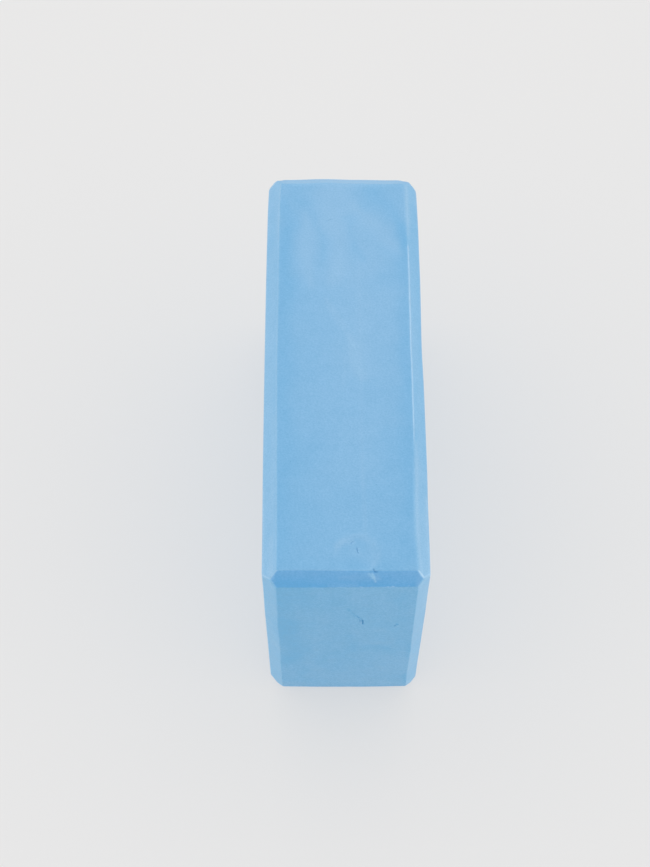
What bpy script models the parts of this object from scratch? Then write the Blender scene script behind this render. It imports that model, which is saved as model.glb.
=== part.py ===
"""Foam exercise block: one solid bar of closed-cell EVA foam with its twelve edges planed off at 45 degrees.

Metres, +Z up. The block stands on one of its long narrow faces. The origin is in the middle of that
face, +X runs across the thickness, +Y along the length and +Z up the height.
"""

import itertools

import bmesh
import bpy
from mathutils import Vector

# The nominal 3 x 9 x 6 inch block, in the order thickness (X), length (Y), height (Z).
INCH = 0.0254
THICKNESS = 3 * INCH
LENGTH = 9 * INCH
HEIGHT = 6 * INCH

# Leg of the 45-degree cut along the edges that run in X, Y and Z: how far it reaches into each face.
WIDTH_EDGE_CUT = 0.0054
LENGTH_EDGE_CUT = 0.0064
HEIGHT_EDGE_CUT = 0.0059

# The knife leaves its ridges slightly soft.
RIDGE_SOFTENING = 0.0009
RIDGE_SEGMENTS = 2
RIDGE_ANGLE = 0.5  # radians: flatter than the 45 and 60 degrees between neighbouring faces

CUT_TOLERANCE = 1e-7

FOAM_COLOUR = (0.20, 0.47, 0.76, 1.0)
FOAM_ROUGHNESS = 0.62

COLLECTION = "foam_exercise_block"
NODE = "foam_block"


def clear_scene():
    for found in list(bpy.data.objects):
        bpy.data.objects.remove(found, do_unlink=True)


def foam_material():
    """Sky-blue closed-cell foam with a soft satin skin."""
    material = bpy.data.materials.new("eva_foam")
    material.use_nodes = True
    shader = material.node_tree.nodes["Principled BSDF"]
    shader.inputs["Base Color"].default_value = FOAM_COLOUR
    shader.inputs["Roughness"].default_value = FOAM_ROUGHNESS
    shader.inputs["Metallic"].default_value = 0.0
    return material


def plane_off_edge(mesh, middle, half, along, side_a, side_b, cut):
    """Cuts one edge of the bar away with a 45-degree plane and closes the face that it leaves.

    along is the axis (0, 1 or 2) that the edge follows, and side_a and side_b are -1 or +1: which of
    the four edges along that axis it is.
    """
    across_a, across_b = [axis for axis in range(3) if axis != along]
    normal = Vector((0, 0, 0))
    normal[across_a] = side_a
    normal[across_b] = side_b
    on_plane = middle.copy()
    on_plane[across_a] += side_a * (half[across_a] - cut)
    on_plane[across_b] += side_b * half[across_b]
    bmesh.ops.bisect_plane(
        mesh,
        geom=mesh.verts[:] + mesh.edges[:] + mesh.faces[:],
        dist=CUT_TOLERANCE,
        plane_co=on_plane,
        plane_no=normal.normalized(),
        clear_outer=True,
    )
    bmesh.ops.holes_fill(mesh, edges=mesh.edges[:])


def foam_block(collection):
    """The whole block. Its cuts are full planes, so three of them meet in a point at every corner."""
    size = Vector((THICKNESS, LENGTH, HEIGHT))
    middle = Vector((0, 0, HEIGHT / 2))
    bpy.ops.mesh.primitive_cube_add(size=1, location=(0, 0, 0))
    block = bpy.context.object
    block.name = NODE
    block.data.name = NODE

    mesh = bmesh.new()
    mesh.from_mesh(block.data)
    bmesh.ops.scale(mesh, vec=size, verts=mesh.verts[:])
    bmesh.ops.translate(mesh, vec=middle, verts=mesh.verts[:])
    cuts = (WIDTH_EDGE_CUT, LENGTH_EDGE_CUT, HEIGHT_EDGE_CUT)
    for along, side_a, side_b in itertools.product(range(3), (-1, 1), (-1, 1)):
        plane_off_edge(mesh, middle, size / 2, along, side_a, side_b, cuts[along])
    bmesh.ops.recalc_face_normals(mesh, faces=mesh.faces[:])
    mesh.to_mesh(block.data)
    mesh.free()

    softening = block.modifiers.new("ridge_softening", "BEVEL")
    softening.width = RIDGE_SOFTENING
    softening.segments = RIDGE_SEGMENTS
    softening.limit_method = "ANGLE"
    softening.angle_limit = RIDGE_ANGLE

    block.data.materials.append(foam_material())
    for home in list(block.users_collection):
        home.objects.unlink(block)
    collection.objects.link(block)
    return block


def main():
    clear_scene()
    collection = bpy.data.collections.new(COLLECTION)
    bpy.context.scene.collection.children.link(collection)
    foam_block(collection)


main()
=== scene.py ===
"""The looks of a sky-blue EVA foam exercise block that stands on a white sweep.

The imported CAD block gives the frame. The visible block is one closed mesh: a grid wrapped round the bar,
pulled onto its planed edges, then worn with dents, cuts, nicks and torn ridges as real shape. Metres and
+Z up, in the row's own frame. The tables of wear are in millimetres.
"""

import itertools
import math

import bmesh
import bpy
import numpy as np
from mathutils import Euler, Matrix, Vector, noise


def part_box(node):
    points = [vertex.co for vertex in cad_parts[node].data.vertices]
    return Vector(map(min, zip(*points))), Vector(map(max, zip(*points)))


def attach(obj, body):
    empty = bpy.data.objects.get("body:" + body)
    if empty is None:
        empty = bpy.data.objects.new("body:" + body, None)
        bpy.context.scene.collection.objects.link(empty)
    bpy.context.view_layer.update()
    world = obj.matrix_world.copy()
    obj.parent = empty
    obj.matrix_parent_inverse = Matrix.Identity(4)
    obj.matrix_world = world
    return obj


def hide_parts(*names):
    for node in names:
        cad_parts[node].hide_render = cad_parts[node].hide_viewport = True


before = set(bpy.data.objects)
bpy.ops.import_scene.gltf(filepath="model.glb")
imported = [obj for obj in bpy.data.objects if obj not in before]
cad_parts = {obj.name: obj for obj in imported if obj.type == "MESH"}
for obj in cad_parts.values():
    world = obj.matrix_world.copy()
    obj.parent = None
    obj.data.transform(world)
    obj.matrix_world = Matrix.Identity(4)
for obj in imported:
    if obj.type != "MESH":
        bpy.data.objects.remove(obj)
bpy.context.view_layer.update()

NODE = "foam_block"
BODY = "root"
MM = 0.001

LOW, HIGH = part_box(NODE)
SIZE = np.array(HIGH - LOW)
HALF = SIZE / 2
CENTRE = np.array(LOW + HIGH) / 2
HALF_X, HALF_Y, HALF_Z = HALF

X, Y, Z = 0, 1, 2
# The leg of the planed 45-degree edges that run along X, Y and Z, in millimetres.
PLAIN_CUT = {X: 5.4, Y: 6.4, Z: 5.9}

# ---------------------------------------------------------------------------------------------
# Places on the block, in millimetres from an edge, turned into points of the row's frame.


def on_top(across, from_front):
    """A point of the top face: across from its middle line, and back from the front end."""
    return CENTRE + np.array([across * MM, from_front * MM - HALF_Y, HALF_Z])


def on_front(across, below_top):
    """A point of the front end face: across from its middle line, and down from the top."""
    return CENTRE + np.array([across * MM, -HALF_Y, HALF_Z - below_top * MM])


def on_back(across, below_top):
    """A point of the back end face."""
    return CENTRE + np.array([across * MM, HALF_Y, HALF_Z - below_top * MM])


def on_side(side, from_front, below_top):
    """A point of a broad face: side is -1 for the left one and +1 for the right one."""
    return CENTRE + np.array([side * HALF_X, from_front * MM - HALF_Y, HALF_Z - below_top * MM])


def on_bottom(across, from_front):
    """A point of the face that the block stands on."""
    return CENTRE + np.array([across * MM, from_front * MM - HALF_Y, -HALF_Z])


def on_front_cut(across, down):
    """A point of the planed front top edge: down is 0 at its upper ridge and 1 at its lower one."""
    width = PLAIN_CUT[X]
    return CENTRE + np.array(
        [across * MM, (1 - down) * width * MM - HALF_Y, HALF_Z - down * width * MM]
    )


def on_top_cut(side, from_front, out):
    """A point of a planed long top edge: out is 0 at its inner ridge and 1 at its outer one."""
    width = PLAIN_CUT[Y]
    return CENTRE + np.array(
        [
            side * (HALF_X - (1 - out) * width * MM),
            from_front * MM - HALF_Y,
            HALF_Z - out * width * MM,
        ]
    )


def on_upright_cut(side, below_top, out):
    """A point of a planed upright edge of the front end: out is 1 at its ridge with the broad side."""
    width = PLAIN_CUT[Z]
    return CENTRE + np.array(
        [side * (HALF_X - (1 - out) * width * MM), out * width * MM - HALF_Y, HALF_Z - below_top * MM]
    )


# ---------------------------------------------------------------------------------------------
# The planed edges. An edge is named by the axis that it runs along and the sides that it lies on along
# the other two axes, in X, Y, Z order. Widths are the leg of the 45-degree cut in millimetres, at
# places from -1 to +1 along the edge. An edge that isn't listed has its plain width. The widths on the
# edges that show were measured. Those at the far and the bottom front corners were fitted by a program,
# and so was the softness there.

CUTS = {
    (Y, -1, 1): (
        (-1.0, 6.85), (-0.65, 7.0), (-0.4, 6.65), (-0.15, 6.5), (0.1, 6.35), (0.35, 6.55),
        (0.75, 6.45), (0.88, 6.4), (1.0, 8.2),
    ),
    (Y, 1, 1): (
        (-1.0, 5.3), (-0.9, 6.2), (-0.77, 7.1), (-0.65, 7.05), (-0.4, 6.5), (-0.15, 6.3),
        (0.35, 6.2), (0.55, 6.4), (0.95, 6.3), (1.0, 9.15),
    ),
    (X, -1, 1): ((-1.0, 5.85), (-0.5, 5.75), (0.0, 5.6), (1.0, 5.45)),
    (X, 1, 1): (
        (-1.0, 8.9), (-0.75, 10.8), (-0.5, 10.7), (-0.2, 10.3), (0.0, 10.6), (0.3, 11.0),
        (0.6, 11.3), (0.85, 10.96), (1.0, 10.47),
    ),
    (X, -1, -1): (
        (-1.0, 6.3), (-0.8, 5.95), (-0.62, 5.55), (-0.2, 5.25), (0.2, 5.1), (0.5, 5.25),
        (0.65, 5.45), (0.85, 5.75), (1.0, 6.1),
    ),
    (Y, -1, -1): ((-1.0, 6.4), (1.0, 6.4)),
    (Y, 1, -1): ((-1.0, 5.9), (-0.8, 6.4), (1.0, 6.4)),
    (Z, -1, -1): ((-1.0, 6.2), (1.0, 6.45)),
    (Z, 1, -1): ((-1.0, 5.35), (0.9, 5.6), (1.0, 6.2)),
    (Z, -1, 1): ((-1.0, 5.9), (0.8, 6.1), (1.0, 8.3)),
    (Z, 1, 1): ((-1.0, 5.9), (0.8, 6.1), (1.0, 6.5)),
}
# How soft a ridge is: its radius in millimetres at places along it. A ridge is named by its edge and by
# the axis that its face looks along.
PLAIN_SOFTNESS = 0.9
SOFTNESS = {
    (Y, -1, 1, Z): ((-1.0, 3.2), (-0.94, 1.5), (-0.5, 1.2), (0.8, 1.2), (1.0, 2.2)),
    (Y, -1, 1, X): ((-1.0, 2.6), (-0.94, 1.6), (0.8, 1.5), (1.0, 10.0)),
    (Y, 1, 1, Z): (
        (-1.0, 3.6), (-0.55, 2.4), (-0.3, 0.45), (0.5, 0.4), (0.65, 2.0), (0.8, 3.6), (1.0, 5.0),
    ),
    (Y, 1, 1, X): ((-1.0, 1.7), (0.7, 1.6), (1.0, 9.5)),
    (X, -1, 1, Z): ((-1.0, 3.6), (-0.75, 1.7), (0.75, 1.6), (1.0, 2.0)),
    (X, -1, 1, Y): ((-1.0, 4.5), (-0.8, 0.7), (-0.3, 0.5), (0.0, 0.35), (0.8, 0.35), (1.0, 2.4)),
    (X, 1, 1, Z): ((-1.0, 4.0), (-0.5, 6.0), (0.5, 6.0), (1.0, 6.0)),
    (X, 1, 1, Y): ((-1.0, 10.0), (-0.5, 3.0), (0.5, 3.4), (1.0, 10.5)),
    (Y, -1, -1, X): ((-1.0, 2.5), (-0.9, 1.0), (1.0, 0.9)),
    (Z, -1, -1, Y): ((-1.0, 1.4), (0.8, 1.5), (1.0, 3.2)),
    (Z, -1, -1, X): ((-1.0, 2.5), (-0.85, 1.0), (0.9, 1.3), (1.0, 2.8)),
    (Z, 1, -1, Y): ((-1.0, 1.4), (0.85, 1.5), (1.0, 2.6)),
    (Z, 1, -1, X): ((-1.0, 1.2), (-0.85, 1.0), (1.0, 1.6)),
    (Z, -1, 1, X): ((-1.0, 0.9), (0.6, 0.9), (1.0, 5.8)),
    (Z, -1, 1, Y): ((-1.0, 0.9), (0.6, 0.9), (1.0, 5.8)),
    (Z, 1, 1, X): ((-1.0, 0.9), (0.6, 0.9), (1.0, 11.2)),
    (Z, 1, 1, Y): ((-1.0, 0.9), (0.6, 0.9), (1.0, 11.2)),
}
EDGE_EASING = 0.045  # how far along an edge the tables' corners are smoothed
EASING_STEPS = 9
SIDE_BLEND = 4.5  # mm: how far over the edge one ridge's softness eases into the other's
NEAR_MARGIN = 2.0  # mm: how evenly the edges near a corner share their softness
NEAR_POWER = 3
CUT_WOBBLE = 0.18  # mm, the knife's wander
WAVE_LENGTHS = (0.55, 0.23, 0.11)
PROJECTION_SWEEPS = 40
EDGE_NAMES = [(axis, a, b) for axis in (X, Y, Z) for a, b in itertools.product((-1, 1), repeat=2)]


def smooth_step(value, start, stop):
    share = np.clip((value - start) / (stop - start), 0, 1)
    return share * share * (3 - 2 * share)


def across_axes(axis):
    return [other for other in (X, Y, Z) if other != axis]


def along_edge(table, plain, name, place):
    """The table's value for an edge at places from -1 to +1 along it."""
    if name not in table:
        return np.full_like(place, plain)
    at, value = zip(*table[name])
    steps = np.linspace(-EDGE_EASING, EDGE_EASING, EASING_STEPS)
    return np.mean([np.interp(place + step, at, value) for step in steps], axis=0)


def waves(place, seed):
    """A smooth wander between about -1 and 1 along a line, made of a few sine waves."""
    dice = np.random.default_rng(seed)
    total = np.zeros_like(place)
    for k, length in enumerate(WAVE_LENGTHS):
        total += np.sin(place * 2 * math.pi / length + dice.uniform(0, 2 * math.pi)) / (k + 1.5)
    return total / 1.3


def edge_values(points):
    """The cut width and ridge softness at each point for the edges nearest to it along X, Y and Z.

    points are taken from the block's middle. Each result has one row for each axis.
    """
    sides = np.where(points < 0, -1, 1)
    gaps = HALF - np.abs(points)
    widths = np.zeros((3, len(points)))
    softness = np.zeros((3, len(points)))
    for seed, name in enumerate(EDGE_NAMES):
        axis, side_a, side_b = name
        a, b = across_axes(axis)
        mine = (sides[:, a] == side_a) & (sides[:, b] == side_b)
        place = points[mine, axis] / HALF[axis]
        plain = PLAIN_CUT[axis]
        wander = CUT_WOBBLE * waves(place * HALF[axis] / HALF_Y, seed)
        widths[axis, mine] = (along_edge(CUTS, plain, name, place) + wander) * MM
        radius_a, radius_b = (
            along_edge(SOFTNESS, PLAIN_SOFTNESS, name + (face,), place) for face in (a, b)
        )
        share = smooth_step(gaps[mine, b] - gaps[mine, a], -SIDE_BLEND * MM, SIDE_BLEND * MM)
        softness[axis, mine] = (radius_b + (radius_a - radius_b) * share) * MM
    return widths, softness


def wrapped(points):
    """Pulls points of the plain bar's surface onto the planed bar. Returns the places and normals.

    It works in one eighth of the bar, where six planes bound it: three faces and three cuts. The nearest
    point of a bar that is smaller by the ridge radius, pushed out again by that radius, rounds the ridges.
    """
    local = points - CENTRE
    sign = np.where(local < 0, -1.0, 1.0)
    folded = np.abs(local)
    widths, softness = edge_values(local)
    # Nearness to each edge says whose softness counts.
    gaps = HALF - folded
    away = np.array([np.sum(gaps[:, across_axes(axis)], axis=1) for axis in (X, Y, Z)])
    nearness = 1 / (away + NEAR_MARGIN * MM) ** NEAR_POWER
    radius = np.sum(nearness * softness, axis=0) / np.sum(nearness, axis=0)
    planes = []
    for axis in (X, Y, Z):
        normal = np.zeros(3)
        normal[axis] = 1
        planes.append((normal, HALF[axis] - radius))
        a, b = across_axes(axis)
        diagonal = np.zeros(3)
        diagonal[[a, b]] = math.sqrt(0.5)
        planes.append((diagonal, (HALF[a] + HALF[b] - widths[axis]) * math.sqrt(0.5) - radius))
    nearest = folded.copy()
    carried = [np.zeros_like(folded) for _ in planes]
    for _ in range(PROJECTION_SWEEPS):
        for k, (normal, limit) in enumerate(planes):
            start = nearest + carried[k]
            over = np.maximum(start @ normal - limit, 0)
            nearest = start - over[:, None] * normal
            carried[k] = start - nearest
    out = folded - nearest
    out /= np.linalg.norm(out, axis=1)[:, None]
    place = (nearest + out * radius[:, None]) * sign
    return place + CENTRE, out * sign


# ---------------------------------------------------------------------------------------------
# Wear that is real shape. Every line runs over the surface as a row of points.


def corner_ridges(side_x, side_y, side_z):
    """The three ridges that meet at a corner of the block, each from the corner's point outwards."""
    ends = {}
    for axis, side in ((X, side_x), (Y, side_y), (Z, side_z)):
        a, b = across_axes(axis)
        sides = (side_x, side_y, side_z)
        name = (axis, sides[a], sides[b])
        ends[axis] = along_edge(CUTS, PLAIN_CUT[axis], name, np.array([float(side)]))[0]
    total = sum(ends.values()) / 2
    # Insets from the three faces, in millimetres.
    point = [total - ends[axis] for axis in (X, Y, Z)]
    corner = np.array([side_x, side_y, side_z])

    def inset(values):
        return CENTRE + corner * (HALF - np.array(values) * MM)

    ridges = {}
    for axis in (X, Y, Z):
        a, b = across_axes(axis)
        # On this face one inset is 0, and the other two are the widths of the cuts beside it.
        far = [0.0, 0.0, 0.0]
        far[a], far[b] = ends[b], ends[a]
        ridges[axis] = [inset(point), inset(far)]
    return ridges


def top_ridge(side, starts, stops, outward):
    """A line along the inner ridge of a long top cut, between two distances from the front end."""
    places = np.linspace(starts, stops, 24)
    shares = places * MM / HALF_Y - 1
    widths = along_edge(CUTS, PLAIN_CUT[Y], (Y, side, 1), shares)
    return [
        on_top(side * (HALF_X / MM - width + outward), place) - np.array([0, 0, outward * MM])
        for width, place in zip(widths, places)
    ]


# (points, half width, depth, lip height) in millimetres
CUT_LINES = [
    ([on_top(2.0, 18.5), on_top(2.7, 19.3), on_top(3.6, 20.0)], 0.22, 0.26, 0.05),
    ([on_top(4.9, 17.4), on_top(5.0, 15.8), on_top(5.7, 13.7)], 0.20, 0.32, 0.06),
    (
        [on_top(12.0, 6.6), on_top(12.35, 6.0), on_front_cut(12.6, 0.02), on_front_cut(12.9, 0.10)],
        0.36, 0.50, 0.04,
    ),
    ([on_front_cut(12.6, 0.05), on_front_cut(13.4, 0.06), on_front_cut(14.2, 0.04)], 0.36, 0.34, 0.03),
    ([on_front_cut(13.6, 0.05), on_front_cut(14.9, 0.0), on_top(16.0, 5.6)], 0.38, 0.16, 0.0),
    ([on_front(0.6, 30), on_front(3.4, 38.0), on_front(5.8, 43.4)], 0.85, 0.16, 0.0),
    ([on_front(5.0, 41.4), on_front(7.3, 45.6), on_front(8.2, 47.4)], 0.24, 0.26, 0.05),
    ([on_front(8.1, 46.8), on_front(8.3, 50.0), on_front(8.5, 53.6)], 0.32, 0.68, 0.10),
    ([on_front(6.4, 45.8), on_front(7.1, 48.0), on_front(7.2, 50.7)], 0.20, 0.26, 0.04),
    (
        [on_front(23.3, 56.2), on_front(23.8, 54.6), on_front(24.5, 53.6), on_front(25.6, 53.3)],
        0.24, 0.40, 0.10,
    ),
    ([on_top(-8.2, 194.2), on_top(-6.8, 195.6), on_top(-5.0, 196.0)], 0.26, 0.12, 0.03),
    ([on_side(1, 71, 64), on_side(1, 73, 69), on_side(1, 73.5, 73)], 0.30, 0.60, 0.12),
    ([on_side(1, 168, 31), on_side(1, 173, 33)], 0.26, 0.35, 0.08),
    ([on_side(-1, 150, 96), on_side(-1, 156, 99), on_side(-1, 159, 104)], 0.28, 0.50, 0.10),
    ([on_side(-1, 44, 40), on_side(-1, 46, 44)], 0.26, 0.40, 0.10),
    ([on_back(-14, 84), on_back(-10, 88), on_back(-8.5, 93)], 0.30, 0.55, 0.12),
]
DEEP_TEAR = 0.4  # mm: from this depth on a cut shows the darker inside of the foam
# (points, half width in mm, height in mm, haze): the flap beside a nick, a torn tongue, and burrs and
# fluff on a ridge. Their haze is a painted highlight on the raised shape.
RAISED_LINES = [
    ([on_front_cut(11.9, 0.18), on_front_cut(12.5, 0.34), on_front_cut(13.2, 0.66)], 0.50, 0.30, 0.11),
    ([on_front(7.6, 48.6), on_front(7.8, 51.6)], 0.30, 0.28, 0.12),
    ([on_front(24.2, 56.8), on_front(24.6, 57.2)], 0.30, 0.16, 0.07),
    ([on_front_cut(6.2, 1.0), on_front_cut(7.6, 1.0)], 0.30, 0.20, 0.09),
    ([on_front_cut(11.2, 1.0), on_front_cut(12.6, 1.0)], 0.26, 0.12, 0.04),
    ([on_front_cut(18.7, 0.98), on_front_cut(19.0, 0.98)], 0.32, 0.24, 0.11),
    ([on_front_cut(20.6, 0.96), on_front_cut(21.4, 0.97)], 0.30, 0.22, 0.12),
    ([on_front_cut(27.9, 0.92), on_front_cut(28.2, 0.92)], 0.30, 0.20, 0.10),
    ([on_front_cut(-20.4, 1.0), on_front_cut(-19.8, 1.0)], 0.30, 0.16, 0.08),
    ([on_front_cut(-28.6, 0.98), on_front_cut(-27.2, 1.02)], 0.34, 0.16, 0.10),
]
FRONT_RIDGE = [on_front_cut(-31, 1.0), on_front_cut(31, 1.0)]
# The bead that the plane left along the right-hand inner ridge of the top.
BEAD_LINE = top_ridge(1, 65, 181.5, 0.5)
BEAD_WIDTH = 0.38
BEAD_HEIGHT = 0.16
BEAD_ENDS = (0.14, 0.02)  # shares of its length over which it rises and ends
BEAD_EVENNESS = (0.98, 0.18)
# The bead's haze is a painted highlight along it, on top of its real height.
BEAD_PAINTED_HIGHLIGHT = 0.084
# (points, half width, depth) in millimetres: soft presses of fingertips and of things leant on the foam
PRESSES = [
    ([on_top(-19, 196), on_top(-18, 178), on_top(-17, 160)], 7, 0.16),
    ([on_top(-6, 206), on_top(-3, 190), on_top(-2, 172)], 8, 0.16),
    ([on_top(8, 202), on_top(17, 190), on_top(25, 180)], 7, 0.18),
    ([on_front(-22, 70), on_front(-24, 86), on_front(-26, 98)], 8, 0.20),
    ([on_front(12, 84), on_front(21, 86)], 6, 0.15),
    ([on_side(1, 140, 60), on_side(1, 144, 84)], 11, 0.30),
    ([on_side(1, 166, 56), on_side(1, 168, 78)], 10, 0.26),
    ([on_side(1, 60, 112)], 13, 0.30),
    ([on_side(-1, 130, 50), on_side(-1, 118, 52)], 12, 0.28),
    ([on_side(-1, 60, 110), on_side(-1, 76, 118)], 10, 0.25),
    ([on_back(4, 50), on_back(8, 66)], 10, 0.25),
    ([on_bottom(-8, 70), on_bottom(-2, 84)], 9, 0.20),
    ([on_bottom(12, 170)], 10, 0.20),
]
# The round mark that something blunt pressed into the top near its front end.
RING_MIDDLE = on_top(4.6, 12.9)
RING_RADIUS = 9.4
RING_DEPTH = 0.18
RING_RIM = 0.10
RING_SLOPE = (2.2, 0.2)  # mm inside and outside the radius where its bowl begins and ends
RIM_OFFSET = 0.5
RIM_WIDTH = 1.3
RING_WANDER = 0.5
TOP_FACING = (0.75, 0.95)  # how far up a normal looks on the top face

# The broad sides aren't quite flat: how far they stand out, in millimetres, by distance from the front.
SIDE_LINES = {
    -1: (
        (0, -0.1), (20, 0.0), (45, 0.16), (70, 0.26), (125, 0.22), (180, 0.03), (206, -0.15),
        (215, -0.38), (226, -0.55),
    ),
    1: (
        (0, -0.02), (20, 0.22), (43, 0.12), (56, 0.3), (69, 0.33), (96, 0.27), (111, 0.05),
        (120, -0.22), (131, -0.2), (150, 0.15), (167, 0.36), (181, 0.3), (197, 0.27), (212, 0.1),
        (222, -0.1),
    ),
}
SIDE_EASING = 5.0
UNEVENNESS = 0.10
UNEVEN_LENGTH = 45
FLOOR_EASING = 4  # mm above the floor over which the unevenness sets in
FRONT_SWELL = 0.22
RAGGED_RIDGE = 0.16
RAGGED_REACH = 0.6
REFINE_REACH = 1.4  # mm round a cut where the mesh is made finer
REFINE_ROUNDS = 4
SHORTEST_EDGE = 0.17  # mm


def polyline_distance(points, line):
    """How far points are from a line of straight pieces, and how far along it from 0 to 1."""
    if len(line) == 1:
        return np.linalg.norm(points - line[0], axis=1), np.zeros(len(points))
    best = np.full(len(points), 1e9)
    where = np.zeros(len(points))
    pieces = list(zip(line[:-1], line[1:]))
    total = sum(np.linalg.norm(b - a) for a, b in pieces)
    done = 0.0
    for a, b in pieces:
        length = np.linalg.norm(b - a)
        share = np.clip((points - a) @ (b - a) / length**2, 0, 1)
        gap = np.linalg.norm(points - (a + share[:, None] * (b - a)), axis=1)
        nearer = gap < best
        best[nearer] = gap[nearer]
        where[nearer] = (done + share[nearer] * length) / total
        done += length
    return best, where


# ---------------------------------------------------------------------------------------------
# The mesh.

FINE_STEP = 0.30 * MM
WIDE_STEP = 2.25 * MM
CUT_STEP = 1.3 * MM
STEP_GROWTH = 0.45
RIDGE_BAND = 0.6 * MM
EDGE_REACH = 8  # mm past the ridges where the edge's own grid ends
# Where the ridges of the cuts lie, in mm from each end of the bar along X, Y and Z.
RIDGE_PLACES = (
    ((5.6, 6.6), (5.6, 6.7)),
    ((5.4, 6.3), (6.4, 10.9)),
    ((6.0,), (5.4, 6.6, 10.9)),
)


def stations(half, low_ridges, high_ridges):
    """Grid places along one axis, from -half to +half: close together at the ridges of the cuts."""

    def from_edge(ridges):
        places, t = [], 0.0
        while t < half * 0.9:
            places.append(t)
            gap = min(abs(t - ridge * MM) for ridge in ridges)
            widest = CUT_STEP if t < max(ridges) * MM else WIDE_STEP
            t += min(widest, FINE_STEP + STEP_GROWTH * max(0.0, gap - RIDGE_BAND))
            if t > (max(ridges) + EDGE_REACH) * MM:
                break
        return np.array(places)

    low, high = from_edge(low_ridges), from_edge(high_ridges)
    start, stop = low[-1], 2 * half - high[-1]
    steps = max(1, round((stop - start) / WIDE_STEP))
    middle = np.linspace(start, stop, steps + 1)[1:-1]
    return np.concatenate([low, middle, 2 * half - high[::-1]]) - half


def plain_bar():
    """A grid over the six faces of the bar, welded into one closed mesh."""
    lines = [stations(half, *ridges) for half, ridges in zip(HALF, RIDGE_PLACES)]
    points, faces = [], []
    count = 0
    for axis in (X, Y, Z):
        a, b = across_axes(axis)
        for side in (-1, 1):
            grid_a, grid_b = np.meshgrid(lines[a], lines[b], indexing="ij")
            face = np.zeros((grid_a.size, 3))
            face[:, a], face[:, b], face[:, axis] = grid_a.ravel(), grid_b.ravel(), side * HALF[axis]
            points.append(face)
            rows, columns = grid_a.shape
            index = np.arange(grid_a.size).reshape(rows, columns) + count
            quads = np.stack(
                [index[:-1, :-1], index[1:, :-1], index[1:, 1:], index[:-1, 1:]], axis=-1
            ).reshape(-1, 4)
            outward = side if axis != Y else -side
            faces.append(quads if outward > 0 else quads[:, ::-1])
            count += grid_a.size
    points, faces = np.concatenate(points), np.concatenate(faces)
    _, first, index = np.unique(np.round(points / 1e-7), axis=0, return_index=True, return_inverse=True)
    return points[first] + CENTRE, index.reshape(-1)[faces]


def fine_lines():
    """Where the mesh has to be finer: (points, reach in mm, how many times it is halved)."""
    lines = [(line, REFINE_REACH, REFINE_ROUNDS) for line, *_ in CUT_LINES + RAISED_LINES]
    lines += [(line, max(widths) + 0.6, 1) for line, widths, _ in SMUDGES_AND_PAINTED_LIGHT if max(widths) < THIN_SMUDGE]
    lines += [(line, 0.9, 2) for line, *_ in CORNER_HIGHLIGHTS]
    lines.append((FRONT_RIDGE, 0.9, 2))
    lines += [([on_top(side * 33, 223)], 13, 1) for side in (-1, 1)]
    lines += [([on_top(side * 34, 4)], 7, 1) for side in (-1, 1)]
    return lines


def refined(points, faces):
    """Splits the faces near each cut line into smaller ones, a few times over."""
    mesh = bmesh.new()
    vertices = [mesh.verts.new(p) for p in points]
    for face in faces:
        mesh.faces.new([vertices[i] for i in face])
    for turn in range(REFINE_ROUNDS):
        mesh.verts.index_update()
        mesh.edges.ensure_lookup_table()
        here = wrapped(np.array([v.co for v in mesh.verts]))[0]
        ends = np.array([[e.verts[0].index, e.verts[1].index] for e in mesh.edges])
        middles = (here[ends[:, 0]] + here[ends[:, 1]]) / 2
        lengths = np.linalg.norm(here[ends[:, 0]] - here[ends[:, 1]], axis=1)
        near = np.zeros(len(middles), bool)
        for line, reach, rounds in fine_lines():
            if turn < rounds:
                near |= polyline_distance(middles, line)[0] < reach * MM * (1.6 - 0.35 * turn)
        chosen = [mesh.edges[i] for i in np.flatnonzero(near & (lengths > SHORTEST_EDGE * MM))]
        bmesh.ops.subdivide_edges(mesh, edges=chosen, cuts=1, use_grid_fill=True)
    mesh.verts.index_update()
    points = np.array([v.co for v in mesh.verts])
    faces = [[v.index for v in f.verts] for f in mesh.faces]
    mesh.free()
    return points, faces


def noise_at(points, length, seed):
    """Smooth noise of that wavelength at each point, about -1 to 1."""
    shift = Vector((seed * 7.3, seed * 3.1, seed * 5.7))
    return np.array([noise.noise(Vector(p) / length + shift) for p in points])


def eased(places, table, spread):
    """The table's value at places, with its corners smoothed over that distance."""
    at, value = zip(*table)
    return np.mean([np.interp(places + step, at, value) for step in np.linspace(-spread, spread, 9)], axis=0)


def stroke(points, line, widths):
    """1 on a stroke's middle line and 0 past its edge. widths are its half widths in mm along it."""
    gap, along = polyline_distance(points, line)
    half = np.interp(along, np.linspace(0, 1, len(widths)), widths) * MM
    return 1 - smooth_step(gap / half, 0.0, 1.15)


def ring_reach(points, normals):
    """How far points are from the round mark's middle, in mm, and how much they are on the top face."""
    reach = np.linalg.norm(points - RING_MIDDLE, axis=1) / MM
    return reach + RING_WANDER * noise_at(points, 6 * MM, 4), smooth_step(normals[:, Z], *TOP_FACING)


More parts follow.
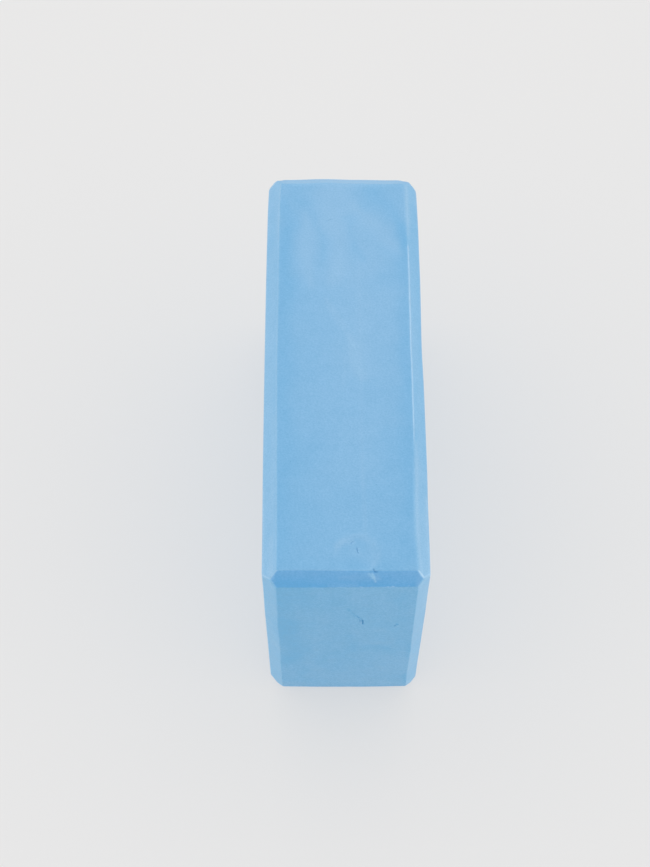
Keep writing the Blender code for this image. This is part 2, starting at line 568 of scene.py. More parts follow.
def worn(points, normals):
    """Moves the wrapped points by the block's unevenness and wear, and returns the masks too: wear, gloss,
    and painted sheen, highlights and shade.
    """
    local = points - CENTRE
    off_floor = smooth_step(local[:, Z] + HALF_Z, 0, FLOOR_EASING * MM)
    # The cutter leaves broad, shallow unevenness.
    move = UNEVENNESS * MM * noise_at(points, UNEVEN_LENGTH * MM, 1) * off_floor
    for line, width, depth in PRESSES:
        move -= depth * MM * stroke(points, line, (width,))
    # A round press: a shallow bowl with a soft rim.
    reach, on_the_top = ring_reach(points, normals)
    bowl = 1 - smooth_step(reach, RING_RADIUS - RING_SLOPE[0], RING_RADIUS + RING_SLOPE[1])
    rim = np.exp(-(((reach - RING_RADIUS - RIM_OFFSET) / RIM_WIDTH) ** 2))
    move += (RING_RIM * rim - RING_DEPTH * bowl) * on_the_top * MM
    tear = np.zeros(len(points))
    raised = np.zeros(len(points))
    for line, width, depth, lip in CUT_LINES:
        gap, along = polyline_distance(points, line)
        ends = smooth_step(along, -0.02, 0.25) * smooth_step(1.02 - along, 0, 0.2)
        ragged = 1 + 0.35 * np.sin(along * 23 + depth * 40)
        groove = np.exp(-((gap / (width * MM * ragged)) ** 2)) * ends
        edge = np.exp(-(((gap - 2.1 * width * MM) / (0.8 * width * MM)) ** 2)) * ends
        move += (-depth * groove + lip * edge) * MM
        tear = np.maximum(tear, groove * min(1.0, depth / DEEP_TEAR))
    # Raised lines have real height, and their haze is a painted highlight.
    for line, width, height, pale in RAISED_LINES:
        gap = polyline_distance(points, line)[0]
        hump = np.exp(-((gap / (width * MM)) ** 2))
        move += height * MM * hump
        raised = np.maximum(raised, pale * hump)
    gap, along = polyline_distance(points, BEAD_LINE)
    bead = np.exp(-((gap / (BEAD_WIDTH * MM)) ** 2))
    bead *= smooth_step(along, 0, BEAD_ENDS[0]) * smooth_step(1 - along, 0, BEAD_ENDS[1])
    bead *= BEAD_EVENNESS[0] + BEAD_EVENNESS[1] * noise_at(points, 5 * MM, 6)
    move += BEAD_HEIGHT * MM * bead
    # The lower ridge of the front cut is ragged.
    gap = polyline_distance(points, FRONT_RIDGE)[0]
    move += RAGGED_RIDGE * MM * np.exp(-((gap / (RAGGED_REACH * MM)) ** 2)) * noise_at(points, 1.3 * MM, 5)
    place = points + normals * move[:, None]
    # The broad sides aren't quite flat.
    from_front = (local[:, Y] + HALF_Y) / MM
    for side in (-1, 1):
        out = eased(from_front, SIDE_LINES[side], SIDE_EASING) * MM
        swell = FRONT_SWELL * MM * np.exp(-from_front / 40) * smooth_step(-local[:, Z], -50 * MM, -20 * MM)
        share = np.clip(local[:, X] * side / HALF_X, 0, 1) ** 2
        place[:, X] += side * (out + swell) * share
    shine = bead.copy()
    # The corners' painted highlights are also glossier.
    for line, width, value in CORNER_HIGHLIGHTS:
        gap = polyline_distance(points, line)[0]
        shine = np.maximum(shine, min(1.0, value / FULL_SHINE) * np.exp(-((gap / (width * MM)) ** 2)))
    # The haze of the raised lines and the bead is a painted highlight.
    masks = looks(points, normals, raised + BEAD_PAINTED_HIGHLIGHT * bead)
    return place, masks | {"tear": tear, "shine": shine}


# ---------------------------------------------------------------------------------------------
# Colour of the skin: wear, and painted sheen, highlights and shade. Haze is how far the deep blue has gone
# towards white.

# How each side is painted: (direction that it faces, haze as a painted sheen that differs with the way the
# side faces the light, how much more green and blue it is painted as a colour cast of the light on that
# side, and how strong its grain is). The hazes began as the light's fit gave them, and were then tuned.
SIDE_PAINTED_SHEEN_AND_GRAIN = [
    ((0, 0, 1), 0.113, -0.006, 0.0, 1.0),
    ((-1, 0, 1), 0.134, -0.008, -0.018, 1.1),
    ((1, 0, 1), 0.120, -0.008, -0.022, 1.1),
    ((0, -1, 1), 0.039, -0.040, 0.012, 1.15),
    ((0, 1, 1), 0.092, 0.0, 0.0, 1.0),
    ((0, -1, 0), 0.037, -0.004, -0.022, 1.7),
    ((-1, -1, 0), 0.090, 0.035, 0.016, 1.4),
    ((1, -1, 0), 0.130, 0.052, 0.044, 1.4),
    ((0, 1, 0), 0.060, 0.0, 0.0, 1.3),
    ((-1, 1, 0), 0.100, 0.0, 0.0, 1.2),
    ((1, 1, 0), 0.100, 0.0, 0.0, 1.2),
    ((-1, 0, 0), 0.080, 0.0, 0.0, 1.2),
    ((1, 0, 0), 0.085, 0.0, 0.0, 1.2),
    ((-1, 0, -1), 0.110, 0.0, 0.0, 1.2),
    ((1, 0, -1), 0.110, 0.0, 0.0, 1.2),
    ((0, -1, -1), 0.080, 0.0, 0.0, 1.4),
    ((0, 1, -1), 0.080, 0.0, 0.0, 1.3),
    ((0, 0, -1), 0.105, 0.0, 0.0, 1.2),
]
# (points, half widths along them in mm, haze): smudges and wear, with painted highlights and shade on some
# edges
SMUDGES_AND_PAINTED_LIGHT = [
    # finger smears on the far half of the top, lighter partly as painted reflection off the finger presses
    # there
    ([on_top(-19, 200), on_top(-18, 188), on_top(-17.5, 172), on_top(-17, 157)], (4, 7, 5, 3.5), 0.034),
    (
        [on_top(-8, 212), on_top(-6, 202), on_top(-4, 190), on_top(-2, 178), on_top(-4, 160)],
        (9, 11, 9, 8, 5), 0.035,
    ),
    ([on_top(0, 214), on_top(4, 205)], (7, 7), 0.022),
    ([on_top(14, 214), on_top(13, 204)], (6, 5), -0.010),
    ([on_top(6, 205), on_top(12, 195), on_top(20, 187), on_top(28, 177)], (4, 6.5, 6, 3), 0.035),
    ([on_top(12, 188), on_top(15, 178), on_top(18, 168)], (9, 10, 8), 0.018),
    ([on_top(-14.5, 200), on_top(-11, 188), on_top(-10, 172)], (2.5, 2.2, 1.8), -0.015),
    ([on_top(2.5, 198), on_top(4, 190), on_top(6, 182), on_top(9, 174)], (1.8, 2.0, 2.2, 3), -0.018),
    ([on_top(-27, 192), on_top(-26.5, 176), on_top(-27, 158)], (2.5, 4.5, 4.5), -0.012),
    ([on_top(17, 214), on_top(23, 204), on_top(27, 193), on_top(29.5, 182)], (7, 6.5, 4.5, 3), -0.028),
    ([on_top(-24, 213), on_top(-20, 208)], (5, 5), -0.015),
    # lighter middle of the top
    ([on_top(2, 160), on_top(5, 112)], (15, 15), 0.012),
    ([on_top(23, 152), on_top(24, 110)], (8, 8), 0.014),
    ([on_top(9, 166), on_top(13, 148), on_top(13, 128), on_top(10, 108)], (11, 11, 12, 10), 0.020),
    ([on_top(0, 220), on_top(0, 150), on_top(0, 60)], (26, 26, 22), 0.015),
    # a slanting rub, and a faint long one
    ([on_top(-8.5, 149), on_top(-4, 141), on_top(1, 133)], (1.5, 1.9, 1.7), 0.018),
    ([on_top(0.5, 134), on_top(4.5, 124), on_top(6.5, 112), on_top(8, 103)], (1.6, 4.0, 4.5, 3.5), 0.022),
    ([on_top(7.5, 178), on_top(8, 120), on_top(8, 70), on_top(9, 23)], (1.1, 1.3, 1.3, 1.1), 0.010),
    ([on_top(0.5, 116), on_top(-0.5, 99)], (1.0, 1.2), 0.012),
    (
        [on_top(-8.8, 147), on_top(-3, 135.5), on_top(2.9, 126.5), on_top(7.6, 117.5)],
        (0.5, 0.9, 1.0, 0.8), 0.018,
    ),
    ([on_top(7.8, 64), on_top(8.2, 42), on_top(8.8, 24)], (1.0, 1.7, 1.5), 0.009),
    # lighter patches inside the round mark, and faint ones beyond it
    ([on_top(-4, 18), on_top(-1, 19.5), on_top(3, 19.5)], (2.0, 2.4, 2.0), 0.030),
    ([on_top(9, 16), on_top(12, 11)], (2.5, 3.0), 0.012),
    ([on_top(3.5, 14), on_top(8, 11)], (4, 4), 0.020),
    ([on_top(30, 6), on_top(30, 28)], (5, 5), 0.013),
    ([on_top(14, 62), on_top(20, 104)], (10, 10), 0.009),
    # darker bands along the edges of the top and near its front end
    ([on_top(-30, 16), on_top(-29.5, 110), on_top(-29, 150), on_top(-28.5, 205)], (9, 8, 8, 6), -0.032),
    ([on_top(30, 14), on_top(30, 60), on_top(30, 120), on_top(30.5, 190)], (7, 6.5, 5.5, 6.5), -0.028),
    ([on_top(-31, 7), on_top(0, 6.5), on_top(31, 7)], (7, 6, 7), -0.020),
    ([on_top(-20, 20), on_top(-20, 64)], (13, 12), -0.014),
    ([on_top(21, 18), on_top(21, 72)], (12, 11), -0.012),
    # the planed long edges: painted highlights near the front end, and darker towards the far end; a light
    # scratch
    ([on_top_cut(-1, 2, 0.5), on_top_cut(-1, 12, 0.5), on_top_cut(-1, 22, 0.5)], (4.5, 4.5, 4), 0.034),
    ([on_top_cut(-1, 182, 0.55), on_top_cut(-1, 204, 0.55)], (4, 4), -0.022),
    ([on_top_cut(-1, 40, 0.8), on_top_cut(-1, 47, 0.1)], (0.9, 0.9), 0.030),
    ([on_top_cut(1, 3, 0.35), on_top_cut(1, 26, 0.35), on_top_cut(1, 62, 0.35)], (4.5, 4.5, 3), 0.034),
    ([on_top_cut(1, 140, 0.6), on_top_cut(1, 206, 0.6)], (4, 4), -0.020),
    # the front cut beside the nick: a painted highlight on the lifted flap, and lighter strips along the cut
    ([on_front_cut(10.2, 0.18), on_front_cut(11.0, 0.25), on_front_cut(12.0, 0.42)], (0.9, 1.4, 1.2), 0.095),
    ([on_front_cut(13.6, 0.26), on_front_cut(14.3, 0.5)], (1.5, 1.3), 0.034),
    (
        [on_front_cut(-3, 0.45), on_front_cut(2, 0.42), on_front_cut(9, 0.42), on_front_cut(16, 0.5)],
        (1.2, 2.4, 2.4, 1.2), 0.030,
    ),
    # the front end face
    ([on_front(-28, 52), on_front(-26, 74), on_front(-25, 88), on_front(-27, 106)], (6, 9, 9, 6), -0.040),
    ([on_front(-31, 8), on_front(-30, 64)], (8, 8), -0.034),
    ([on_front(-22, 8), on_front(-20, 26)], (9, 12), -0.016),
    ([on_front(-14, 84), on_front(-15, 96), on_front(-17, 108), on_front(-14, 120)], (3, 3.5, 4, 5), 0.018),
    ([on_front(-12, 46), on_front(-14, 62), on_front(-11, 74)], (5, 5, 5), 0.012),
    ([on_front(-4, 22), on_front(-4, 26)], (4, 4), -0.014),
    ([on_front(4, 8), on_front(6, 20)], (5, 5), 0.012),
    ([on_front(15, 14), on_front(16, 22)], (4, 4), 0.014),
    ([on_front(26, 12), on_front(27, 44)], (4, 4), -0.012),
    ([on_front(3, 60), on_front(8, 68)], (4, 4), 0.012),
    ([on_front(31.5, 80), on_front(31.5, 104)], (1.6, 1.6), -0.020),
    ([on_front(31.5, 126), on_front(31.5, 142)], (1.6, 1.6), -0.024),
    # the upright edges of the front end
    ([on_upright_cut(1, 9, 0.8), on_upright_cut(1, 40, 0.8)], (4, 4), 0.034),
    ([on_upright_cut(1, 6.5, 0.35), on_upright_cut(1, 13, 0.3)], (2.2, 2.2), 0.030),
    ([on_upright_cut(-1, 9, 0.3), on_upright_cut(-1, 60, 0.3)], (3, 3), 0.020),
    ([on_upright_cut(1, 90, 0.5), on_upright_cut(1, 140, 0.5)], (5, 5), -0.020),
    ([on_front(-16, 10), on_front(-16, 30)], (16, 14), -0.010),
    ([on_front(-28, 6.5), on_front(-8, 6.5)], (4, 4), -0.018),
    ([on_front(4, 122), on_front(28, 112)], (24, 24), 0.016),
    ([on_front(1, 68), on_front(2, 78), on_front(5, 88)], (3.5, 5, 5), -0.026),
    ([on_front(11, 83), on_front(16, 84), on_front(22, 87)], (3.5, 3.5, 3.5), -0.030),
    ([on_front(-6, 94), on_front(-3, 94.5)], (3, 3), -0.026),
    ([on_front(13, 74), on_front(15, 77)], (3.5, 3.5), 0.032),
    ([on_front(19, 61), on_front(22, 62)], (3, 2.6), 0.032),
    ([on_front(24, 68), on_front(20, 78)], (2.4, 2.6), 0.018),
    ([on_front(-14, 75), on_front(-15, 88)], (2.5, 2.5), 0.012),
    ([on_front(-6, 100), on_front(-6, 107)], (2.6, 2.6), 0.030),
    ([on_front(18, 116), on_front(19.5, 128), on_front(22, 142)], (3, 2.6, 2.4), 0.022),
    ([on_front(-12, 112), on_front(-9, 124), on_front(-11, 134)], (2.4, 3, 3), 0.014),
    ([on_front(-21, 114), on_front(-23, 130)], (3, 3), -0.014),
    ([on_front(-28, 143), on_front(30, 143)], (8, 8), 0.026),
    ([on_front(-15, 55), on_front(-13, 60)], (2.8, 2.8), 0.018),
    ([on_front(-6, 128), on_front(20, 128)], (14, 14), 0.010),
    ([on_front(-17, 130), on_front(6, 134), on_front(22, 142)], (7, 8, 6), 0.013),
    ([on_front(12, 98), on_front(26, 106)], (8, 8), 0.009),
    ([on_front(25.7, 40.9), on_front(30.2, 37.0)], (0.7, 0.7), 0.015),
    # sides that the block is gripped and slid on
    ([on_side(1, 120, 44), on_side(1, 150, 70), on_side(1, 170, 90)], (10, 14, 10), 0.030),
    ([on_side(1, 30, 120), on_side(1, 92, 126)], (9, 12), 0.022),
    ([on_side(1, 52, 48), on_side(1, 96, 38)], (1.2, 1.4), 0.035),
    ([on_side(-1, 100, 40), on_side(-1, 134, 60), on_side(-1, 140, 92)], (12, 15, 10), 0.030),
    ([on_side(-1, 190, 120), on_side(-1, 150, 128)], (10, 12), 0.022),
    ([on_side(-1, 28, 60), on_side(-1, 62, 84)], (1.2, 1.2), 0.030),
    ([on_back(-12, 40), on_back(2, 60), on_back(14, 96)], (9, 12, 10), 0.028),
    ([on_back(20, 30), on_back(6, 36)], (1.2, 1.2), 0.025),
    ([on_bottom(-14, 30), on_bottom(-8, 110), on_bottom(-12, 200)], (14, 16, 14), 0.030),
    ([on_bottom(14, 40), on_bottom(20, 150)], (3, 4), 0.030),
    ([on_bottom(2, 60), on_bottom(10, 180)], (1.2, 1.2), 0.035),
]
THIN_SMUDGE = 2.5
RIGHT_FRONT = corner_ridges(1, -1, 1)
LEFT_FRONT = corner_ridges(-1, -1, 1)
# (points, half width in mm, haze): painted highlights on the corner ridges, which are glossier there too
CORNER_HIGHLIGHTS = [
    (RIGHT_FRONT[Z], 0.55, 0.36),
    (RIGHT_FRONT[X], 0.50, 0.10),
    (RIGHT_FRONT[Y], 0.40, 0.04),
    (LEFT_FRONT[X], 0.50, 0.14),
    (LEFT_FRONT[Z], 0.45, 0.08),
    (LEFT_FRONT[Y], 0.45, 0.12),
]
# (points, half width in mm, haze): painted highlights and painted shade along the long ridges
RIDGE_HIGHLIGHTS_AND_SHADE = [
    (top_ridge(-1, 2, 226, 0.5), 0.5, 0.038),
    ([on_top_cut(-1, 2, 0.30), on_top_cut(-1, 226, 0.30)], 1.8, 0.012),
    ([on_top_cut(-1, 2, 0.25), on_top_cut(-1, 84, 0.25)], 1.6, 0.020),
    (top_ridge(-1, 184, 206, 0.9), 0.8, 0.016),
    ([on_top_cut(-1, 2, 0.97), on_top_cut(-1, 226, 0.97)], 0.5, 0.030),
    ([on_top_cut(-1, 2, 0.97), on_top_cut(-1, 48, 0.97)], 0.8, 0.055),
    (top_ridge(1, 4, 70, 1.5), 1.1, 0.052),
    ([on_top_cut(1, 2, 0.70), on_top_cut(1, 34, 0.72)], 2.0, 0.018),
    ([on_top_cut(1, 30, 0.52), on_top_cut(1, 52, 0.54)], 0.7, -0.016),
    ([on_top_cut(1, 76, 0.24), on_top_cut(1, 180, 0.24)], 1.0, 0.016),
    (top_ridge(1, 187, 216, 0.8), 1.5, 0.060),
    (top_ridge(1, 146, 168, -0.1), 0.45, 0.030),
    ([on_top_cut(1, 60, 0.80), on_top_cut(1, 205, 0.80)], 1.2, -0.018),
    ([on_top_cut(1, 2, 0.97), on_top_cut(1, 226, 0.97)], 0.5, 0.024),
    ([on_top_cut(1, 2, 0.95), on_top_cut(1, 44, 0.93)], 1.3, 0.060),
    ([on_top(-24, 219.6), on_top(24, 219.2)], 1.6, 0.030),
    ([on_back(-24, 10.2), on_back(26, 10.6)], 3.5, 0.030),
    ([on_top(-30, 6.2), on_top(9, 5.8)], 0.5, 0.018),
    ([on_front_cut(-30, 0.12), on_front_cut(31, 0.12)], 1.3, 0.020),
    ([on_front_cut(-30, 0.72), on_front_cut(31.5, 0.72)], 1.7, -0.019),
    ([on_front_cut(32.6, 0.5), on_front_cut(32.0, 0.82)], 1.0, 0.036),
    ([on_front_cut(-29, 0.90), on_front_cut(-9, 0.91)], 0.7, -0.044),
    ([on_front_cut(6, 0.91), on_front_cut(30, 0.90)], 0.7, -0.036),
]
# A painted highlight on the far side of the round mark's rim: its haze, and its width in mm.
RING_RIM_HIGHLIGHT = 0.036
RING_HIGHLIGHT_WIDTH = 1.5
FULL_SHINE = 0.36  # the haze of a corner's painted highlight at which its gloss is full
HIGHLIGHT_PALENESS = (0.04, 0.12)  # the added haze from which painted highlights and strong rubs lose the side's painted colour cast, and have lost it
# The green and blue gain of that pale painted cast.
PALE_GAIN = 0.05
SIDE_SHARPNESS = 40  # how sharply the look changes from one side to the next
# How smudges wander: (size and length of the wander in mm, seed)
SMUDGE_WANDERS = ((3.2, 17, 0), (1.2, 6, 10))


def looks(points, normals, raised_highlight):
    """Masks for the haze at each point (wear, and painted sheen, highlights and shade), the strength of its
    grain, and the painted colour cast of the light on its skin.
    """
    # Each side's haze is a painted sheen, and its green and blue a painted colour cast of the light; plain
    # keeps that painted sheen.
    directions = np.array([np.array(way) / np.linalg.norm(way) for way, *_ in SIDE_PAINTED_SHEEN_AND_GRAIN])
    shares = np.exp(SIDE_SHARPNESS * (normals @ directions.T - 1))
    shares /= shares.sum(axis=1)[:, None]
    total, green, blue, grain = (shares @ np.array([values for _, *values in SIDE_PAINTED_SHEEN_AND_GRAIN])).T
    plain = total.copy()
    total += raised_highlight
    wobbly = points + sum(
        size * MM * np.stack([noise_at(points, length * MM, seed + turn) for seed in (11, 12, 13)], axis=1)
        for size, length, turn in SMUDGE_WANDERS
    )
    for line, widths, value in SMUDGES_AND_PAINTED_LIGHT:
        thin = max(widths) < THIN_SMUDGE
        total += value * stroke(points if thin else wobbly, line, widths)
    # Painted highlights on the corners, and painted highlights and shade along the long ridges.
    for line, width, value in CORNER_HIGHLIGHTS + RIDGE_HIGHLIGHTS_AND_SHADE:
        total += value * np.exp(-((polyline_distance(points, line)[0] / (width * MM)) ** 2))
    # A painted highlight on the far side of the round mark's rim.
    reach, on_the_top = ring_reach(points, normals)
    far_side = smooth_step(
        points[:, Y] + 0.5 * points[:, X], RING_MIDDLE[Y] - 6 * MM, RING_MIDDLE[Y] + 3 * MM
    )
    arc = np.exp(-(((reach - RING_RADIUS) / RING_HIGHLIGHT_WIDTH) ** 2))
    total += RING_RIM_HIGHLIGHT * arc * far_side * on_the_top
    # Where the added haze is strong, mostly at painted highlights, the side's painted colour cast gives way
    # to a pale one.
    kept = 1 - smooth_step(total - plain, *HIGHLIGHT_PALENESS)
    green, blue = (PALE_GAIN + (value - PALE_GAIN) * kept for value in (green, blue))
    painted_light_tint = np.stack([np.ones_like(green), 1 + green, 1 + blue, np.ones_like(green)], axis=1)
    return {"haze": total, "grain": grain, "painted_light_tint": painted_light_tint}


class Graph:
    """Adds nodes to a tree. A value given to a node is a number, or another node's output."""

    def __init__(self, tree):
        self.tree = tree

    def node(self, kind, **settings):
        node = self.tree.nodes.new(kind)
        for name, value in settings.items():
            setattr(node, name, value)
        return node

    def give(self, socket, value):
        if isinstance(value, bpy.types.NodeSocket):
            self.tree.links.new(value, socket)
        else:
            socket.default_value = value

    def math(self, operation, *values, clamp=False):
        node = self.node("ShaderNodeMath", operation=operation, use_clamp=clamp)
        for socket, value in zip(node.inputs, values):
            self.give(socket, value)
        return node.outputs[0]

    def mix(self, share, first, second, blend="MIX"):
        node = self.node("ShaderNodeMix", data_type="RGBA", blend_type=blend)
        for name, value in (("Factor_Float", share), ("A_Color", first), ("B_Color", second)):
            self.give(next(s for s in node.inputs if s.identifier == name), value)
        return next(s for s in node.outputs if s.identifier == "Result_Color")

    def noise(self, place, length, detail=2.0, roughness=0.5):
        """Noise about 0, from about -0.5 to 0.5, with features of that length."""
        node = self.node("ShaderNodeTexNoise")
        self.give(node.inputs["Vector"], place)
        self.give(node.inputs["Scale"], 1 / length)
        self.give(node.inputs["Detail"], detail)
        self.give(node.inputs["Roughness"], roughness)
        return self.math("SUBTRACT", node.outputs[0], 0.5)

    def mask(self, name):
        return self.node("ShaderNodeAttribute", attribute_name=name).outputs["Fac"]


DEEP_BLUE = (0.113, 0.415, 0.722, 1)
SHEEN_AND_WEAR_WHITE = (1.0, 1.0, 1.0, 1)
TORN_BLUE = (0.020, 0.270, 0.520, 1)
CELL = 0.42 * MM
GRAIN = 0.75 * MM
SATIN = 0.40
CLOUD = 22 * MM
MOTTLE = 5 * MM
CLOUD_HAZE = 0.03
MOTTLE_HAZE = 0.03
MOTTLE_ROUGHNESS = 0.12
GRAIN_HAZE = 0.12
GRAIN_LIGHT = 0.17
MOTTLE_LIGHT = 0.06
GRAIN_DRAW = (0.8, 1.0, 1.0)
RELIEF = 0.04 * MM
TORN_SHARE = 0.32
TORN_ROUGHNESS = 0.3
BURNISH = 1.0
# How much the colour is brightened where it shines: a painted highlight.
SHINE_PAINTED_HIGHLIGHT = 0.11
BURNISH_SMOOTHNESS = 0.20
BURNISH_GLOSS = 0.5
PLAIN_GLOSS = 0.5
COAT_ROUGHNESS = 0.2
PINHOLE_SPACING = 11 * MM
PINHOLE_SIZE = 0.028  # of their spacing
PINHOLE_SHARE = 0.35
CELL_SHARE = 0.5


def foam_material():
    material = bpy.data.materials.new("eva_foam")
    material.use_nodes = True
    graph = Graph(material.node_tree)
    shader = material.node_tree.nodes["Principled BSDF"]
    place = graph.node("ShaderNodeTexCoord").outputs["Object"]
    # Colour: deep blue, hazed towards white by wear and by painted sheen, highlights and shade, with clouds,
    # mottling and a fine grain.
    clouds = graph.noise(place, CLOUD, 3.0)
    drawn = graph.node("ShaderNodeVectorMath", operation="MULTIPLY")
    graph.give(drawn.inputs[0], place)
    graph.give(drawn.inputs[1], GRAIN_DRAW)
    mottle = graph.noise(drawn.outputs[0], MOTTLE, 3.0, 0.6)
    grain = graph.noise(drawn.outputs[0], GRAIN, 2.0, 0.7)
    clouds, mottle, coloured = (
        graph.math("MULTIPLY", pattern, graph.mask("grain")) for pattern in (clouds, mottle, grain)
    )
    hazed = graph.math("ADD", graph.mask("haze"), graph.math("MULTIPLY", clouds, CLOUD_HAZE))
    hazed = graph.math("ADD", hazed, graph.math("MULTIPLY", mottle, MOTTLE_HAZE))
    hazed = graph.math("ADD", hazed, graph.math("MULTIPLY", coloured, GRAIN_HAZE), clamp=True)
    skin = graph.mix(hazed, DEEP_BLUE, SHEEN_AND_WEAR_WHITE)
    # Painted colour cast of the light on each side, paler at painted highlights.
    painted_light_tint = graph.node("ShaderNodeAttribute", attribute_name="painted_light_tint").outputs["Color"]
    skin = graph.mix(1.0, skin, painted_light_tint, "MULTIPLY")
    light = graph.math("MULTIPLY", coloured, GRAIN_LIGHT)
    light = graph.math("ADD", light, graph.math("MULTIPLY", mottle, MOTTLE_LIGHT))
    lit = graph.node("ShaderNodeVectorMath", operation="SCALE")
    graph.give(lit.inputs[0], skin)
    # Painted highlight: the colour is brightened where the bead and the corners shine.
    light = graph.math("ADD", light, graph.math("MULTIPLY", graph.mask("shine"), SHINE_PAINTED_HIGHLIGHT))
    graph.give(lit.inputs["Scale"], graph.math("ADD", light, 1.0))
    skin = lit.outputs[0]
    colour = graph.mix(graph.math("MULTIPLY", graph.mask("tear"), TORN_SHARE), skin, TORN_BLUE)
    # Pinholes: one small open cell here and there.
    holes = graph.node("ShaderNodeTexVoronoi", feature="F1")
    graph.give(holes.inputs["Vector"], place)
    graph.give(holes.inputs["Scale"], 1 / PINHOLE_SPACING)
    hole = graph.math("LESS_THAN", holes.outputs["Distance"], PINHOLE_SIZE)
    colour = graph.mix(graph.math("MULTIPLY", hole, PINHOLE_SHARE), colour, TORN_BLUE)
    graph.give(shader.inputs["Base Color"], colour)
    # Gloss: satin, smoother where it is burnished.
    shine, tear = graph.mask("shine"), graph.mask("tear")
    rough = graph.math("ADD", SATIN, graph.math("MULTIPLY", mottle, MOTTLE_ROUGHNESS))
    rough = graph.math("SUBTRACT", rough, graph.math("MULTIPLY", shine, BURNISH_SMOOTHNESS))
    rough = graph.math("ADD", rough, graph.math("MULTIPLY", tear, TORN_ROUGHNESS))
    graph.give(shader.inputs["Roughness"], rough)
    gloss = graph.math("ADD", graph.math("MULTIPLY", shine, BURNISH_GLOSS), PLAIN_GLOSS, clamp=True)
    graph.give(shader.inputs["Specular IOR Level"], gloss)
    graph.give(shader.inputs["Coat Weight"], graph.math("MULTIPLY", shine, BURNISH))
    graph.give(shader.inputs["Coat Roughness"], COAT_ROUGHNESS)
    # Relief: closed cells under a pressed skin.
    cells = graph.node("ShaderNodeTexVoronoi", feature="F1")
    graph.give(cells.inputs["Vector"], place)
    graph.give(cells.inputs["Scale"], 1 / CELL)
    relief = graph.math("ADD", graph.math("MULTIPLY", cells.outputs["Distance"], CELL_SHARE), grain)
    bump = graph.node("ShaderNodeBump")
    graph.give(bump.inputs["Height"], relief)
    graph.give(bump.inputs["Strength"], 1.0)
    graph.give(bump.inputs["Distance"], RELIEF)
    graph.give(shader.inputs["Normal"], bump.outputs["Normal"])
    return material


def foam_block():
    points, faces = refined(*plain_bar())
    place, masks = worn(*wrapped(points))
    mesh = bpy.data.meshes.new("block_of_foam")
    mesh.from_pydata(place.tolist(), [], [list(f) for f in faces])
    for name, values in masks.items():
        kind, field = ("FLOAT", "value") if values.ndim == 1 else ("FLOAT_COLOR", "color")
        mesh.attributes.new(name, kind, "POINT").data.foreach_set(field, values.astype(np.float32).ravel())
    mesh.shade_smooth()
    mesh.materials.append(foam_material())
    block = bpy.data.objects.new("block_of_foam", mesh)
    bpy.context.scene.collection.objects.link(block)
    return block


# ---------------------------------------------------------------------------------------------
# The studio.


SWEEP_SIZE = 12
SWEEP_ROUGHNESS = 0.9
SWEEP_WHITE = 0.35
SWEEP_GLOW = 0.475
SWEEP_TINT = (1.0, 0.990, 0.984, 1)
# The soft light tent: how bright each side is, from the horizon at 0 degrees up to the zenith at 90.
# These levels weren't chosen by hand: a least-squares program found them.
TENT_HEIGHTS = (0, 12, 25, 38, 50, 63, 76, 90)
ZENITH = 0.34
TENT = {
    "left": (1.60, 1.53, 1.40, 1.18, 0.94, 0.67, 0.43, ZENITH),
    "right": (1.70, 1.67, 1.47, 1.13, 0.81, 0.59, 0.43, ZENITH),
    "back": (0.80, 0.80, 1.06, 1.56, 1.73, 0.82, 0.30, ZENITH),
    "front": (0.80, 0.81, 0.83, 0.81, 0.84, 0.74, 0.52, ZENITH),
}
BRIGHTEST = 2.0

# The lens and the places below come from a perspective fit to the block's edges.
SENSOR_WIDTH = 36
LENS = 64.89
EYE = (-0.00968, -0.37492, 0.80098)  # metres, above the middle of the face that the block stands on
LOOKS_DOWN = 62.66  # degrees
TURN = -0.08
ROLL = -0.11


def floor():
    """A white sweep lit from below as well, as a light table is, so that shadows on it stay faint."""
    bpy.ops.mesh.primitive_plane_add(size=SWEEP_SIZE, location=(0, 0, LOW.z))
    sweep = bpy.context.object
    sweep.name = "studio_floor"
    material = bpy.data.materials.new("white_sweep")
    material.use_nodes = True
    shader = material.node_tree.nodes["Principled BSDF"]
    shader.inputs["Base Color"].default_value = (SWEEP_WHITE, SWEEP_WHITE, SWEEP_WHITE, 1)
    shader.inputs["Roughness"].default_value = SWEEP_ROUGHNESS
    shader.inputs["Specular IOR Level"].default_value = 0.0
    shader.inputs["Emission Color"].default_value = SWEEP_TINT
    shader.inputs["Emission Strength"].default_value = SWEEP_GLOW
    sweep.data.materials.append(material)


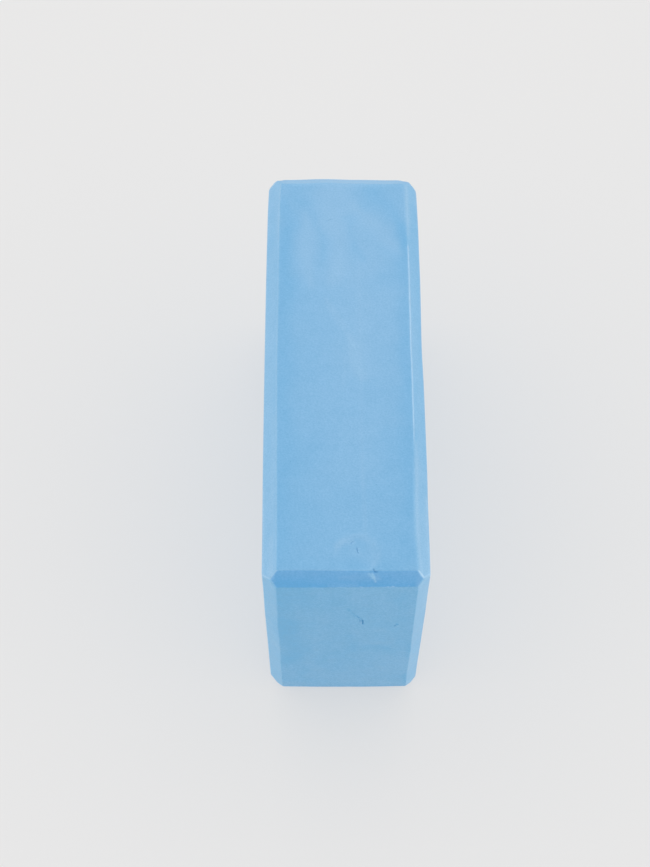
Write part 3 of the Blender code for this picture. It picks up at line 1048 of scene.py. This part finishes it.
def light_tent():
    """Soft light from all round, with its own brightness for each side and height."""
    world = bpy.data.worlds.new("light_tent")
    world.use_nodes = True
    graph = Graph(world.node_tree)
    background = world.node_tree.nodes["Background"]
    parts = graph.node("ShaderNodeSeparateXYZ")
    graph.give(parts.inputs[0], graph.node("ShaderNodeTexCoord").outputs["Generated"])
    height = graph.math("DIVIDE", graph.math("ARCSINE", parts.outputs["Z"]), math.pi / 2, clamp=True)
    east, north = parts.outputs["X"], parts.outputs["Y"]
    level = graph.math("ADD", graph.math("MULTIPLY", east, east), graph.math("MULTIPLY", north, north))
    level = graph.math("MAXIMUM", level, 1e-6)
    total = 0.0
    for side, (value, sign) in {
        "right": (east, 1.0),
        "left": (east, -1.0),
        "back": (north, 1.0),
        "front": (north, -1.0),
    }.items():
        ramp = graph.node("ShaderNodeValToRGB")
        stops = ramp.color_ramp.elements
        while len(stops) < len(TENT_HEIGHTS):
            stops.new(1.0)
        for stop, angle, bright in zip(stops, TENT_HEIGHTS, TENT[side]):
            stop.position = angle / 90
            stop.color = (bright / BRIGHTEST, bright / BRIGHTEST, bright / BRIGHTEST, 1)
        graph.give(ramp.inputs["Fac"], height)
        facing = graph.math("MAXIMUM", graph.math("MULTIPLY", value, sign), 0.0)
        facing = graph.math("DIVIDE", graph.math("MULTIPLY", facing, facing), level)
        total = graph.math("ADD", total, graph.math("MULTIPLY", ramp.outputs["Color"], facing))
    graph.give(background.inputs["Color"], (1, 1, 1, 1))
    graph.give(background.inputs["Strength"], graph.math("MULTIPLY", total, BRIGHTEST))
    bpy.context.scene.world = world


def camera():
    """A phone held above the front end and looking steeply down at the block."""
    data = bpy.data.cameras.new("phone")
    data.sensor_width = SENSOR_WIDTH
    data.lens = LENS
    eye = bpy.data.objects.new("phone", data)
    eye.location = (EYE[0], EYE[1], LOW.z + EYE[2])
    tilt = math.radians(90 - LOOKS_DOWN)
    aim = Euler((tilt, 0, math.radians(TURN))).to_matrix() @ Matrix.Rotation(math.radians(ROLL), 3, "Z")
    eye.rotation_euler = aim.to_euler()
    bpy.context.scene.collection.objects.link(eye)
    bpy.context.scene.camera = eye


block = foam_block()
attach(block, BODY)
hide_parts(NODE)
floor()
light_tent()
camera()
bpy.context.scene.view_settings.view_transform = "Standard"
